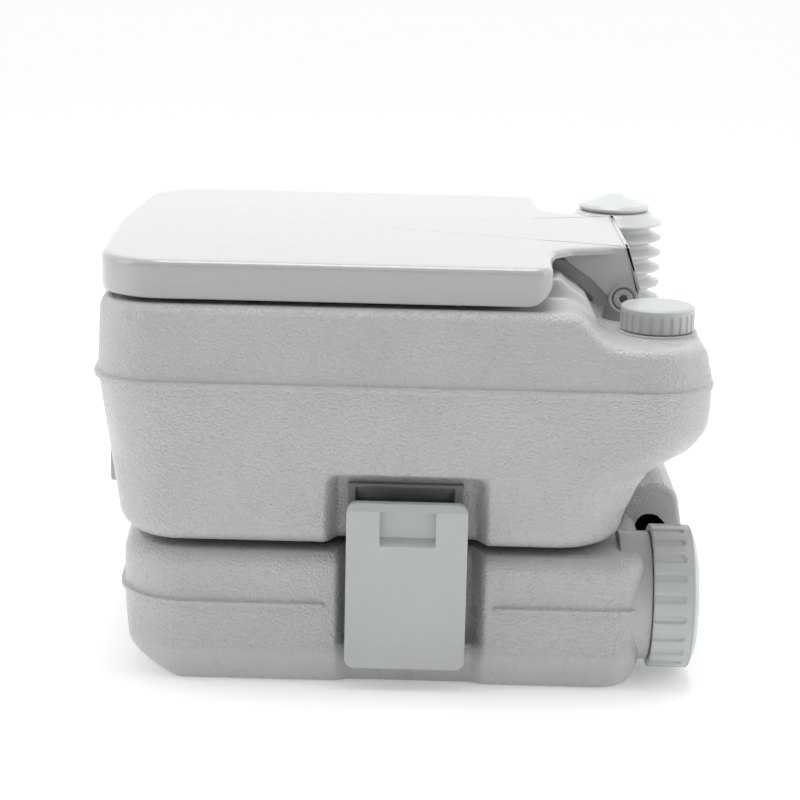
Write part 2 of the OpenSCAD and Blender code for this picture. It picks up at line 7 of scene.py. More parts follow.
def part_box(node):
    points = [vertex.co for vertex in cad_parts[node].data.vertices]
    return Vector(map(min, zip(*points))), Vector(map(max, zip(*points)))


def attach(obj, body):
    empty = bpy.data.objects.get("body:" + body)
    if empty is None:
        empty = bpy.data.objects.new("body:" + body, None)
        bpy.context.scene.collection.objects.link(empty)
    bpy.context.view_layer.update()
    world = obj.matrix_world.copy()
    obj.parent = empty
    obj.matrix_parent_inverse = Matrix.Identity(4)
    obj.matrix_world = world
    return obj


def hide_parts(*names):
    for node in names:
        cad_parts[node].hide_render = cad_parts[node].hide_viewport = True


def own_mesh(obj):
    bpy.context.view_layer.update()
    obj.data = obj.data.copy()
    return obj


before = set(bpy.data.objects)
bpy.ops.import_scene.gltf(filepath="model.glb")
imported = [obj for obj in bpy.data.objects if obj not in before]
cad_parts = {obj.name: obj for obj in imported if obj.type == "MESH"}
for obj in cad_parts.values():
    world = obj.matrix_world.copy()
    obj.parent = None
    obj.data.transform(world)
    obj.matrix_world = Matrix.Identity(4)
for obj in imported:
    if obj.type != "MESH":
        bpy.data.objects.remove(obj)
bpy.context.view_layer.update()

# ---- camera, floor and light ----
# A product is stood on a white sweep: a white floor that runs far back, a bright wall behind it, a darker
# room on the camera's side, a square lamp overhead and a tall one at each end of the object.
scene = bpy.context.scene
scene.view_settings.view_transform = "Standard"

eye = Vector((1.4995, 0.0156, 0.5295))
pan, tilt, roll = np.radians((0.7, 14.0, 1.26))
look = Vector((-np.cos(tilt) * np.cos(pan), -np.cos(tilt) * np.sin(pan), -np.sin(tilt)))
level = look.cross(Vector((0, 0, 1))).normalized()
across = level * np.cos(roll) + level.cross(look) * np.sin(roll)
turned = Matrix([across, across.cross(look), -look]).transposed().to_4x4()
camera = bpy.data.objects.new("camera", bpy.data.cameras.new("camera"))
camera.matrix_world = Matrix.Translation(eye) @ turned
camera.data.sensor_width = 36
camera.data.lens = 94.5
camera.data.clip_end = 100
scene.collection.objects.link(camera)
scene.camera = camera


def linear(colour):
    """An sRGB hex colour as the linear values that the sockets take: c / 12.92 when it is dark, else a power
    of 2.4."""
    c = np.array([int(colour[i:i + 2], 16) for i in (1, 3, 5)]) / 255
    return (*np.where(c <= 0.04045, c / 12.92, ((c + 0.055) / 1.055) ** 2.4).tolist(), 1)


def add(tree, kind, settings, links=None):
    """Adds one node with its settings, by the name or number of an input or else by property, and its
    links."""
    node = tree.nodes.new(kind)
    for key, value in settings.items():
        if isinstance(key, int) or key in node.inputs:
            node.inputs[key].default_value = value
        else:
            setattr(node, key, value)
    for key, socket in (links or {}).items():
        tree.links.new(socket, node.inputs[key])
    return node


world = bpy.data.worlds.new("studio")
world.use_nodes = True
tree = world.node_tree
tree.nodes.clear()
direction = add(tree, "ShaderNodeTexCoord", {})
apart = add(tree, "ShaderNodeSeparateXYZ", {}, {0: direction.outputs["Generated"]})
room = add(tree, "ShaderNodeMapRange", {"From Min": -0.5, "From Max": 0.8, "To Min": 1.12, "To Max": 0.33,
                                        "interpolation_type": "SMOOTHSTEP"}, {"Value": apart.outputs["X"]})
glow = add(tree, "ShaderNodeBackground", {"Color": linear("#fdfeff")}, {"Strength": room.outputs["Result"]})
add(tree, "ShaderNodeOutputWorld", {}, {"Surface": glow.outputs[0]})
scene.world = world

lamps = (("overhead", (-0.1, 0, 1.7), (0.9, 0.9), 13),
         ("front_end", (0.5, -1.7, 0.9), (0.8, 1.3), 6),
         ("rear_end", (0.4, 1.7, 0.8), (0.8, 1.3), 5))
for name, place, size, power in lamps:
    lamp = bpy.data.objects.new(name, bpy.data.lights.new(name, "AREA"))
    lamp.data.shape = "RECTANGLE"
    lamp.data.size, lamp.data.size_y = size
    lamp.data.energy = power
    lamp.location = place
    lamp.rotation_euler = (Vector((0, 0, 0.15)) - Vector(place)).to_track_quat("-Z", "Y").to_euler()
    scene.collection.objects.link(lamp)

floor_mesh = bpy.data.meshes.new("floor")
floor_mesh.from_pydata([(-30, -30, 0), (30, -30, 0), (30, 30, 0), (-30, 30, 0)], [], [(0, 1, 2, 3)])
floor = bpy.data.objects.new("floor", floor_mesh)
paint = bpy.data.materials.new("white_sweep")
paint.use_nodes = True
for socket, value in (("Base Color", linear("#f7f7f8")), ("Roughness", 0.9), ("Emission Color", (1, 1, 1, 1)),
                      ("Emission Strength", 0.22)):
    paint.node_tree.nodes["Principled BSDF"].inputs[socket].default_value = value
floor_mesh.materials.append(paint)
scene.collection.objects.link(floor)


# ---- flush tank ----
# The upper tank is one blow moulding in light grey polyethylene, with the bowl drawn down through it. Its
# walls carry a fine pebble grain, a parting bead runs round it, and deck, shoulders and trough are smooth.
def box_mm(node):
    """Lowest and highest corners of a CAD node, in millimetres."""
    return [1000 * np.array(corner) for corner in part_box(node)]


def smooth(x, low, high):
    """Rises from 0 at low to 1 at high along 3t^2 - 2t^3."""
    t = np.clip((x - low) / (high - low), 0, 1)
    return t * t * (3 - 2 * t)


def within(x, low, high, soft):
    """Is 1 between low and high and 0 outside, with rises of the width soft centred on both."""
    return smooth(x, low - soft / 2, low + soft / 2) * (1 - smooth(x, high - soft / 2, high + soft / 2))


def spread(low, high, step, *bands):
    """Places from low to high, a step apart, and closer within each band (from, to, its own step)."""
    x = np.linspace(low, high, 4000)
    density = np.full(x.size, 1 / step)
    for start, end, fine in bands:
        density += np.where((x > start) & (x < end), 1 / fine, 0)
    total = np.cumsum(density) * (high - low) / x.size
    return np.interp(np.linspace(total[0], total[-1], int(total[-1]) + 1), total, x)


def rounded_line(along, heights, soft):
    """A function through (along, heights) by straight lines, its corners blurred over the width soft."""
    x = np.linspace(min(along) - 3 * soft, max(along) + 3 * soft, 1200)
    blur = np.hanning(max(3, int(soft / (x[1] - x[0])) | 1))
    longer = np.pad(np.interp(x, along, heights), blur.size // 2, mode="edge")
    y = np.convolve(longer, blur / blur.sum(), "valid")
    return lambda v: np.interp(v, x, y)


def plan_columns(side_y, rear_x, front_x, front_r, rear_r, bow, half_w, hold=70, corner=14):
    """Columns round a box with rounded corners and a front that bows by bow. At half width w, front y f and
    rear y r a column stands at (kx w + x1, kf f + kr r + y1), and (nx, ny) is its outward direction. Side
    columns within hold of the middle keep their y, and the others stretch with the front and the rear."""
    lean = np.arctan(2 * bow / (half_w - front_r))
    reach = bow + front_r * np.cos(lean)
    q = np.linspace(0, np.pi / 2, corner)[1:-1]
    p = np.linspace(np.pi, 1.5 * np.pi - lean, corner)[1:-1]
    back = np.clip((side_y - hold) / (side_y.max() - hold), 0, None)
    ahead = np.clip((-hold - side_y) / (-hold - side_y.min()), 0, None)
    middle = np.clip(side_y, -hold, hold)
    at_side = np.where(back > 0, hold * (1 - back) - back * rear_r,
                       np.where(ahead > 0, ahead * reach - hold * (1 - ahead), middle))
    o, f = np.ones, np.zeros
    n, m, k, g = side_y.size, rear_x.size, q.size, p.size
    front = front_x / np.abs(front_x).max()
    tuck = front_r * (1 - np.sin(lean))
    slope = 2 * bow * front / (half_w - tuck)
    size = np.sqrt(1 + slope ** 2)
    rows = [  # kx, x1, kf, kr, y1, nx, ny
        (o(n), f(n), ahead, back, at_side, o(n), f(n)),
        (o(k), rear_r * (np.cos(q) - 1), f(k), o(k), rear_r * (np.sin(q) - 1), np.cos(q), np.sin(q)),
        (f(m), rear_x[::-1], f(m), o(m), f(m), f(m), o(m)),
        (-o(k), rear_r * (1 - np.sin(q)), f(k), o(k), rear_r * (np.cos(q) - 1), -np.sin(q), np.cos(q)),
        (-o(n), f(n), ahead[::-1], back[::-1], at_side[::-1], -o(n), f(n)),
        (-o(g), front_r * (1 + np.cos(p)), o(g), f(g), reach + front_r * np.sin(p), np.cos(p), np.sin(p)),
        (front, -front * tuck, o(front.size), f(front.size), bow * front ** 2, slope / size, -1 / size),
        (o(g), -front_r * (1 + np.cos(p))[::-1], o(g), f(g), reach + front_r * np.sin(p)[::-1],
         -np.cos(p)[::-1], np.sin(p)[::-1])]
    return [np.concatenate(column) for column in zip(*rows)]


def stand(columns, w, front, rear):
    """Where the columns stand at a half width, a front and a rear, as x and y arrays."""
    kx, x1, kf, kr, y1 = columns[:5]
    return kx * w + x1, kf * front + kr * rear + y1


def shell(rows, ends):
    """A closed shell from a grid of points whose columns run round. Its first and last rows are closed by a
    pole each, by a flat face each, or are joined to each other. Returns its points and faces."""
    count, around = rows.shape[:2]
    grid = np.arange(count * around).reshape(count, around)
    lower = np.vstack([grid, grid[:1]]) if ends == "joined" else grid
    side = np.roll(lower, -1, 1)
    faces = np.stack([lower[:-1], side[:-1], side[1:], lower[1:]], -1).reshape(-1, 4).tolist()
    points = rows.reshape(-1, 3)
    if ends == "flat":
        faces += [grid[0, ::-1].tolist(), grid[-1].tolist()]
    if ends == "poles":
        points = np.vstack([points, rows[0].mean(0), rows[-1].mean(0)])
        first, last = np.full(around, count * around), np.full(around, count * around + 1)
        faces += np.stack([first, side[0], grid[0]], -1).tolist()
        faces += np.stack([last, grid[-1], side[-1]], -1).tolist()
    return points, faces


def piece(name, shells, body, slot, material, *nodes):
    """A new object from closed shells in millimetres, each turned so that its faces look outwards. It rides
    on a body, takes its finish from material and stands for the CAD nodes. slot is not used."""
    joined = bmesh.new()
    for points, faces in shells:
        part = bpy.data.meshes.new(name)
        part.from_pydata((points / 1000).tolist(), [], faces)
        measured = bmesh.new()
        measured.from_mesh(part)
        if measured.calc_volume(signed=True) < 0:
            part.flip_normals()
        measured.free()
        joined.from_mesh(part)
        bpy.data.meshes.remove(part)
    mesh = bpy.data.meshes.new(name)
    joined.to_mesh(mesh)
    joined.free()
    mesh.polygons.foreach_set("use_smooth", np.ones(len(mesh.polygons), bool))
    mesh.materials.append(material)
    made = bpy.data.objects.new(name, mesh)
    scene.collection.objects.link(made)
    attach(made, body)
    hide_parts(*nodes)
    return made


def mark_grain(obj, where):
    """Gives each point the share of the moulded grain that where(x, y, z), in millimetres, says."""
    co = np.empty(len(obj.data.vertices) * 3, np.float32)
    obj.data.vertices.foreach_get("co", co)
    share = where(*(1000 * co.reshape(-1, 3).T))
    obj.data.attributes.new("grain", "FLOAT", "POINT").data.foreach_set("value", share.astype(np.float32))


def turned_shell(profile, axis, centre, around=128, ends="poles", push=None):
    """A profile of (radius, height) turned about an axis through centre. push(angle, height, radius) moves
    the skin outwards."""
    angle = np.linspace(0, 2 * np.pi, around, endpoint=False)
    r, h = np.array(profile, float).T[:, :, None]
    r = r + (push(angle, h, r) if push else 0)
    u, v, w = r * np.cos(angle), r * np.sin(angle), h + 0 * angle
    order = {"z": (u, v, w), "y": (u, w, v), "x": (w, u, v)}[axis]
    return shell(np.stack(order, -1) + np.array(centre, float), ends)


def rounded_profile(corners, radii, steps=6):
    """An open profile whose inner corners are replaced by arcs of the given radii."""
    p = np.array(corners, float)
    u = p[:-2] - p[1:-1]
    v = p[2:] - p[1:-1]
    return np.vstack([p[:1], corner_arcs(p[1:-1], u, v, np.array(radii, float), steps), p[-1:]])


def corner_arcs(p, u, v, radius, steps):
    """The arc that rounds each corner p between its arms u and v: it leaves each arm at
    radius / tan(half angle), and its points turn evenly about the centre on the bisector."""
    u, v = (w / np.linalg.norm(w, axis=1, keepdims=True) for w in (u, v))
    half = np.arccos(np.clip((u * v).sum(1), -1, 0.9999)) / 2
    radius = np.maximum(radius, 1e-3)
    bisector = (u + v) / np.maximum(np.linalg.norm(u + v, axis=1), 1e-6)[:, None]
    centre = p + bisector * (radius / np.sin(half))[:, None]
    start = p + u * (radius / np.tan(half))[:, None] - centre
    end = p + v * (radius / np.tan(half))[:, None] - centre
    sweep = np.maximum(np.pi - 2 * half, 1e-4)[:, None, None]
    t = np.linspace(0, 1, steps)[None, :, None]
    arcs = (np.sin((1 - t) * sweep) * start[:, None] + np.sin(t * sweep) * end[:, None]) / np.sin(sweep)
    return (centre[:, None] + arcs).reshape(-1, 2)


def rounded_outline(corners, radii, steps=8):
    """A closed outline with each corner replaced by an arc of its radius."""
    p = np.array(corners, float)
    return corner_arcs(p, np.roll(p, 1, 0) - p, np.roll(p, -1, 0) - p, np.array(radii, float), steps)


def inward(outline):
    """For each point of a counter-clockwise outline, the way to move for an inset of 1 on both its edges."""
    d = np.roll(outline, -1, 0) - outline
    d = d / np.maximum(np.linalg.norm(d, axis=1, keepdims=True), 1e-9)
    n = np.stack([-d[:, 1], d[:, 0]], -1)
    m = n + np.roll(n, 1, 0)
    return 2 * m / np.maximum((m * m).sum(1, keepdims=True), 1)


def slab(outline, low, high, edge, axis, steps=5):
    """A plate: a counter-clockwise outline carried along an axis from low to high, both edges rounded by
    edge, with a ring a little further in on each face."""
    turn = np.linspace(0, np.pi / 2, steps)
    ring = [1.15 * edge]
    start, end = edge * (1 - np.sin(turn)), edge * (1 - np.cos(turn))
    inset = np.concatenate([ring, start, end, ring])
    height = np.concatenate([[low], low + end, high - start, [high]])
    flat = outline[None] + inward(outline)[None] * inset[:, None, None]
    u, v, w = flat[..., 0], flat[..., 1], np.broadcast_to(height[:, None], flat.shape[:2])
    return shell(np.stack({"x": (w, u, v), "y": (u, w, v), "z": (u, v, w)}[axis], -1), "flat")


def moulded(name, colour, rough, grain, depth, mottle=0.03, coat=0.0, marked=False):
    """A moulded plastic. Its colour drifts by mottle over a few centimetres, grain is the size of its surface
    cells in millimetres and depth their height, and only marked skin carries them where marked is true."""
    made = bpy.data.materials.new(name)
    made.use_nodes = True
    tree = made.node_tree
    tree.nodes.clear()
    place = add(tree, "ShaderNodeTexCoord", {}).outputs["Object"]
    drift = add(tree, "ShaderNodeTexNoise", {"Scale": 22.0, "Detail": 3.0, "Roughness": 0.55},
                {"Vector": place})
    base = np.array(linear(colour))
    tint = add(tree, "ShaderNodeValToRGB", {}, {"Fac": drift.outputs["Fac"]})
    tint.color_ramp.elements[0].position, tint.color_ramp.elements[1].position = 0.3, 0.7
    tint.color_ramp.elements[0].color = (*(base[:3] * (1 - mottle)), 1)
    tint.color_ramp.elements[1].color = (*np.minimum(base[:3] * (1 + mottle), 1), 1)
    cells = add(tree, "ShaderNodeTexVoronoi",
                {"Scale": 1000 / grain, "feature": "SMOOTH_F1", "Smoothness": 0.5}, {"Vector": place})
    fine = add(tree, "ShaderNodeTexNoise", {"Scale": 2200 / grain, "Detail": 2.0}, {"Vector": place})
    lumps = add(tree, "ShaderNodeMath", {"operation": "MULTIPLY_ADD", 1: 0.35},
                {0: fine.outputs["Fac"], 2: cells.outputs["Distance"]})
    height = lumps.outputs[0]
    if marked:
        share = add(tree, "ShaderNodeAttribute", {"attribute_name": "grain"})
        lumps = add(tree, "ShaderNodeMath", {"operation": "MULTIPLY"}, {0: height, 1: share.outputs["Fac"]})
        height = lumps.outputs[0]
    bump = add(tree, "ShaderNodeBump", {"Strength": 1.0, "Distance": depth / 1000, "invert": True},
               {"Height": height})
    wear = add(tree, "ShaderNodeTexNoise", {"Scale": 60.0, "Detail": 4.0}, {"Vector": place})
    gloss = add(tree, "ShaderNodeMapRange", {"From Min": 0.3, "From Max": 0.7, "To Min": rough - 0.04,
                                             "To Max": rough + 0.05}, {"Value": wear.outputs["Fac"]})
    skin = add(tree, "ShaderNodeBsdfPrincipled", {"IOR": 1.5, "Coat Weight": coat, "Coat Roughness": 0.08},
               {"Base Color": tint.outputs["Color"], "Roughness": gloss.outputs["Result"],
                "Normal": bump.outputs["Normal"]})
    add(tree, "ShaderNodeOutputMaterial", {}, {"Surface": skin.outputs[0]})
    return made


# blow-moulded polyethylene: satin, with a pebble grain of about 1.7 mm that sparkles where an edge turns
tank_skin = moulded("blow_moulded_polyethylene", "#bbbcba", 0.29, 1.7, 0.8, marked=True)

deck = 257
under = 95.5
pump_x, pump_y = (sum(box_mm("pump_bellows")) / 2)[:2]
pump_deck = box_mm("pump_collar")[0][2]
filler_x, filler_y = (sum(box_mm("filler_cap")) / 2)[:2]
shelf = 235
half_wide = rounded_line([90, 109, 203, 209, 251, 262], [169.2, 169.9, 178, 178.5, 172.4, 170.8], 6)
front_wall = rounded_line([90, 113.8, 203, 212, 250, 262], [-193, -193.9, -205.6, -206, -205, -204.7], 6)
rear_wall = rounded_line([90, 112, 131.8, 146, 154, 163.6, 176, 190, 212, 222.6, 240],
                         [147, 152.9, 160.7, 169, 181.8, 197.6, 205.8, 207, 206.5, 203.8, 200], 7)
deck_fall = rounded_line([60, 110, 117, 124, 131, 138, 146, 260],
                         [deck, deck, 254.5, 248, 240, 236.5, shelf, shelf], 5)
shoulder = rounded_line([78, 82, 85, 92, 105, 110.5, 122.5, 131, 134],
                        [240, 248, 262, 270, 270, 265, deck, 242, 230], 4)
trough = rounded_line([98, 104, 111, 121, 127, 132, 142, 260], [272, 266, 257, 249, 238, 228, 222, 222], 5)


def deck_height(x, y):
    """Height of the deck: flat, then falling to the shelf, with a shoulder each side of the hinge trough and
    a sunk corner for the pump."""
    z = deck_fall(y)
    side = np.abs(x)
    z = z + within(side, 78, 114, 8) * np.maximum(shoulder(y) - z, 0)
    z = z + within(side, -100, 77, 4) * np.minimum(trough(y) - z, 0)
    sunk = smooth(-x, 50, 55) * smooth(y, 110, 116)
    return z * (1 - sunk) + pump_deck * sunk


def recess(y, z, wide, back, low, high, top, soft=10):
    """How far a side wall steps in for the latch: to back between low and high, up to the height top."""
    return (wide - back) * within(y, low + soft / 2, high - soft / 2, soft) * (1 - smooth(z, top - soft, top))


# columns gather at the latch recess, the keeper, the hinge trough and the pump's corner
along_side = spread(-145.5, 159, 6, (-54, -36, 1.5), (-35, -28, 0.9), (36, 44, 0.9), (48, 64, 1.5),
                    (104, 154, 2.5))
along_rear = spread(-130, 130, 6, (-60, -44, 1.5), (72, 82, 1.2), (-82, -72, 1.2), (108, 122, 2),
                    (-122, -108, 2))
along_front = spread(-136, 136, 7, (-78, -66, 2), (66, 78, 2))
columns = plan_columns(along_side, along_rear, along_front, 44, 48, 3, 178.5)
out_x, out_y = columns[5], columns[6]
top_r = 8 + 7 * np.clip(out_y, 0, 1) ** 2
foot_r = 15 + 4 * np.clip(-out_y, 0, 1) ** 2
rim_x, rim_y = stand(columns, 175, -205.5, 204)
wall_top = deck_height(rim_x, rim_y) - top_r
tunnel = within(rim_x, -72, 72, 6) * (1 - smooth(rim_y, 34, 42))
wall_foot = under + 12 * tunnel + foot_r

# wall rows, from the top edge down to the bottom edge, gathered at the bead and at the latch recess
nominal = spread(111.5, 249, 5.5, (132, 151, 1.6), (96, 106, 1.5), (202, 210, 0.35))[::-1, None]
bead_foot, bead_head = np.minimum(200, wall_top - 8), np.minimum(211, wall_top - 2)
wall_z = (wall_foot + np.clip((nominal - 111.5) / 88.5, 0, 1) * (bead_foot - wall_foot)
          + np.clip((nominal - 200) / 11, 0, 1) * (bead_head - bead_foot)
          + np.clip((nominal - 211) / 38, 0, 1) * (wall_top - bead_head))
wall_x, wall_y = stand(columns, half_wide(wall_z), front_wall(wall_z), rear_wall(wall_z))
bead = 2.9 * within(wall_z, 204.2, 207.6, 1.0) * smooth(wall_top, 206, 214) * (1 - 0.5 * np.clip(out_y, 0, 1))
wall_x, wall_y = wall_x + out_x * bead, wall_y + out_y * bead

turn = np.linspace(0, np.pi / 2, 9)[:-1, None]
edge_x, edge_y = (v - n * top_r * (1 - np.sin(turn)) for v, n in ((wall_x[0], out_x), (wall_y[0], out_y)))
edge_z = deck_height(edge_x, edge_y) - top_r * (1 - np.cos(turn))
edge_z = edge_z + (wall_top + top_r - deck_height(wall_x[0], wall_y[0])) * np.sin(turn)

# the deck runs in to an oblong round the seat, and from there to the rim of the bowl
share = np.linspace(0, 1, 60)[:0:-1, None]
oblong_x = np.sign(edge_x[0]) * np.interp(np.abs(edge_x[0]), [0, 130, 172], [0, 130, 158])
oblong_y = np.interp(edge_y[0], [-198, -145, 159, 196], [-192, -140, 62, 92])
deck_x, deck_y = edge_x[0] + share * (oblong_x - edge_x[0]), edge_y[0] + share * (oblong_y - edge_y[0])
bowl_y, bowl_long, bowl_wide = -61.5, 120.3, 96.7
around = np.arctan2((oblong_y - bowl_y) / bowl_long, oblong_x / bowl_wide)
share = np.linspace(0, 1, 9)[:-1, None]
lip_x, lip_y = (bowl_wide + 4) * np.cos(around), bowl_y + (bowl_long + 4) * np.sin(around)
inner_x, inner_y = lip_x + share * (oblong_x - lip_x), lip_y + share * (oblong_y - lip_y)

# bottom edge, underside, outlet neck, and up the inside of the bowl
turn = np.linspace(0, np.pi / 2, 9)[1:, None]
foot_x, foot_y = (v - n * foot_r * (1 - np.cos(turn)) for v, n in ((wall_x[-1], out_x), (wall_y[-1], out_y)))
foot_z = wall_z[-1] - foot_r * np.sin(turn)
valve_x, valve_y = 0, -35
neck_turn = np.arctan2(foot_y[-1] - valve_y, foot_x[-1] - valve_x)
share = np.linspace(0, 1, 18)[1:, None]
neck_x, neck_y = valve_x + 44.5 * np.cos(neck_turn), valve_y + 44.5 * np.sin(neck_turn)
under_x, under_y = foot_x[-1] + share * (neck_x - foot_x[-1]), foot_y[-1] + share * (neck_y - foot_y[-1])
under_z = under + 12 * within(under_x, -72, 72, 6) * (1 - smooth(under_y, 34, 42))
neck = [(44.5, 103), (44.3, 101.4), (43.8, 101), (40.6, 101), (40.1, 101.5), (40, 104), (40, 112),
        (40.2, 118)]
neck_r, neck_z = np.array(neck).T[:, :, None]
fall = np.linspace(0, 1, 30)[:, None]
bowl_z = 122 + (deck - 4 - 122) * fall
slope = rounded_line([122, 128, 160, 257, 262], [42, 55, 76, bowl_wide, bowl_wide + 1.5], 26)
length = rounded_line([122, 128, 160, 257, 262], [42, 60, 92, bowl_long, bowl_long + 1.5], 26)
middle = rounded_line([122, 160, 257], [valve_y, -54, bowl_y], 26)
mix = smooth(fall, 0, 0.5)
start = np.arctan2(np.sin(neck_turn), np.cos(neck_turn))
gap = np.angle(np.exp(1j * (around - start)))
bowl_turn = start + gap * mix
bowl_in_x, bowl_in_y = slope(bowl_z) * np.cos(bowl_turn), middle(bowl_z) + length(bowl_z) * np.sin(bowl_turn)
lip = np.linspace(0, np.pi / 2, 6)[1:-1, None]
lip_in_x = (bowl_wide + 4 - 4 * np.cos(lip)) * np.cos(around)
lip_in_y = bowl_y + (bowl_long + 4 - 4 * np.cos(lip)) * np.sin(around)
lip_z = deck - 4 + 4 * np.sin(lip)

rows = [(inner_x, inner_y, deck_height(inner_x, inner_y)), (deck_x, deck_y, deck_height(deck_x, deck_y)),
        (edge_x, edge_y, edge_z), (wall_x, wall_y, wall_z), (foot_x, foot_y, foot_z),
        (under_x, under_y, under_z),
        (valve_x + neck_r * np.cos(neck_turn), valve_y + neck_r * np.sin(neck_turn), neck_z + 0 * neck_turn),
        (bowl_in_x, bowl_in_y, bowl_z + 0 * around), (lip_in_x, lip_in_y, lip_z + 0 * around)]
skin = np.concatenate([np.stack(np.broadcast_arrays(*group), -1) for group in rows])
x, y, z = skin.transpose(2, 0, 1)
near_side = smooth(np.abs(x), 120, 150) * (np.abs(out_x) > 0.9) * (z < 160) * (y > -120)
step_in = recess(y, z, half_wide(z), 156, -50, 61, 148.5)
keeper_low, keeper_high = box_mm("keeper_right")
pocket = (10.5 * within(y, keeper_low[1] + 2.5, keeper_high[1] - 2.5, 2)
          * within(z, keeper_low[2] + 3, keeper_high[2] - 6, 3))
skin[..., 0] -= np.sign(x) * near_side * (step_in + pocket * (np.abs(x) > 150))

filler_base = rounded_profile([(0, shelf - 3), (27.5, shelf - 3), (27, shelf + 1.2), (22.5, shelf + 1.6),
                               (21.5, shelf + 3), (21.5, shelf + 13), (18, shelf + 13), (18, 215), (0, 215)],
                              [0.3, 1, 1.5, 1, 0.6, 0.6, 0.3])
lug_outline = rounded_outline([(138, 219), (166, 219), (161, 250), (158, 259), (144, 259), (141, 250)],
                              [1, 1, 1, 8, 8, 1])
shells = [shell(skin, "joined"), turned_shell(filler_base, "z", (filler_x, filler_y, 0), 96)]
shells += [slab(lug_outline, low, low + 12, 1, "x") for low in (42, -54)]
flush_tank = piece("flush_tank_skin", shells, "flush_unit", "tank", tank_skin, "flush_tank")
mark_grain(flush_tank, lambda x, y, z:
           1 - within(x, -164, 164, 8) * within(y, -194, 188, 10) * smooth(z, 150, 156))


# ---- holding tank ----
# The lower tank is blow-moulded in the same polyethylene: two grained bulges a side with a plain band at the
# foot, a channel on top for the slide valve, a carrying grip at the rear, and the neck of the spout.
base_deck = 91
channel_floor = 80
base_front = -193
base_half = rounded_line([-2, 0, 3, 22, 60, 100], [163, 166, 168.5, 172, 172, 172], 5)
base_slope = rounded_line([-3, 0, 18, 40, 100], [-143, -149, -187, -194, -210], 6)
base_rear = rounded_line([-2, 0, 3, 10, 40, 100], [156, 159, 161, 164, 168, 168], 5)


def base_deck_height(x, y):
    """Height of the holding tank's deck, with the valve's channel sunk in it."""
    return base_deck - (base_deck - channel_floor) * within(x, -68, 68, 4) * (1 - smooth(y, 29, 34))


columns = plan_columns(spread(-139.4, 134, 7, (-60, -28, 1.6), (46, 74, 1.6)), spread(-138, 138, 8),
                       spread(-127, 127, 6, (-72, -64, 1.6), (64, 72, 1.6)), 48, 24, 5, 172)
out_x, out_y = columns[5], columns[6]
top_r = 10 + 2 * np.clip(-out_y, 0, 1)
rim_x, rim_y = stand(columns, 172, base_front, 168)
wall_top = base_deck_height(rim_x, rim_y) - top_r
nominal = spread(0.6, 79, 4, (0, 8, 1.5), (24, 34, 1.2), (52.5, 59.5, 0.35))[::-1, None]
wall_z = np.where(nominal > 60, 60 + (nominal - 60) * (wall_top - 60) / 19, nominal + 0 * wall_top)
wall_x, wall_y = stand(columns, base_half(wall_z), base_front, base_rear(wall_z))

# the slope under the front cuts the corners off: the larger of wall and slope, blended over about 6 mm by
# (sqrt(c^2 + 6^2) - c) / 2, less what that adds far from the cut
cut = np.minimum(wall_y - base_slope(wall_z), 12)
wall_y = wall_y + (np.sqrt(cut ** 2 + 36) - cut) / 2 * (wall_y < -60) - 0.22 * (wall_y < -60)
bead_share = np.where(wall_y < 0, 1 - smooth(wall_y, -50, -47), smooth(wall_y, 64, 67)) * (out_y < 0.6)
bead = 2.8 * within(wall_z, 54.3, 57.5, 1.0) * bead_share
wall_x, wall_y = wall_x + out_x * bead, wall_y + out_y * bead
turn = np.linspace(0, np.pi / 2, 9)[:-1, None]
edge_x, edge_y = (v - n * top_r * (1 - np.sin(turn)) for v, n in ((wall_x[0], out_x), (wall_y[0], out_y)))
edge_z = wall_top + top_r * np.cos(turn)
throat = np.arctan2(edge_y[0] - valve_y, edge_x[0] - valve_x)
well = [(2, 14), (30, 14), (44, 15), (46.5, 18), (46.5, 50), (46.5, 79), (47, channel_floor)]
well_r, well_z = np.array(well).T[:, :, None]
well_x, well_y = valve_x + well_r * np.cos(throat), valve_y + well_r * np.sin(throat)
share = np.linspace(0, 1, 42)[1:-1, None]
deck_x, deck_y = well_x[-1] + share * (edge_x[0] - well_x[-1]), well_y[-1] + share * (edge_y[0] - well_y[-1])
share = np.linspace(1, 0.02, 8)[1:, None]
sole_x, sole_y = wall_x[-1] * share * 0.985, wall_y[-1] * share * 0.985
rows = [(well_x, well_y, well_z + 0 * throat), (deck_x, deck_y, base_deck_height(deck_x, deck_y)),
        (edge_x, edge_y, edge_z), (wall_x, wall_y, wall_z), (sole_x, sole_y, 0 * sole_x)]
skin = np.concatenate([np.stack(np.broadcast_arrays(*group), -1) for group in rows])
x, y, z = skin.transpose(2, 0, 1)
near_side = smooth(np.abs(x), 100, 140) * (np.abs(out_x) > 0.9)
ledge = 163 - 11 * smooth(z, 27, 31)
skin[..., 0] -= np.sign(x) * near_side * recess(y, z, base_half(z), ledge, -42, 60, 200, 11)

grip_outline = rounded_outline([(187, 46), (205, 46), (205, 62), (201, 84), (197, 108), (184, 114.5),
                                (171, 111), (160, 103), (150, 88), (150, 46), (170, 46), (170, 80),
                                (174, 88), (181, 88), (187, 82)],
                               [2, 4, 12, 20, 12, 12, 6, 8, 3, 1, 1, 4, 4, 4, 4])
spout_x, _, spout_z = sum(box_mm("drain_cap")) / 2
spout_neck = rounded_profile([(0, 150), (44, 150), (44, 171.5), (40.8, 171.6), (40.5, 193), (36, 193),
                              (36, 140), (0, 140)], [1, 1.2, 0.5, 0.8, 0.8, 1])
shells = [shell(skin, "poles"), slab(grip_outline, -62, 62, 3.4, "x", 7),
          turned_shell(spout_neck, "y", (spout_x, 0, spout_z), 128)]
pad = rounded_profile([(0, 88), (10.4, 88), (10, 95.2), (0, 95.2)], [0.4, 1.5])
shells += [turned_shell(pad, "z", (east, north, 0), 48) for east in (-120, 120) for north in (-120, 100)]
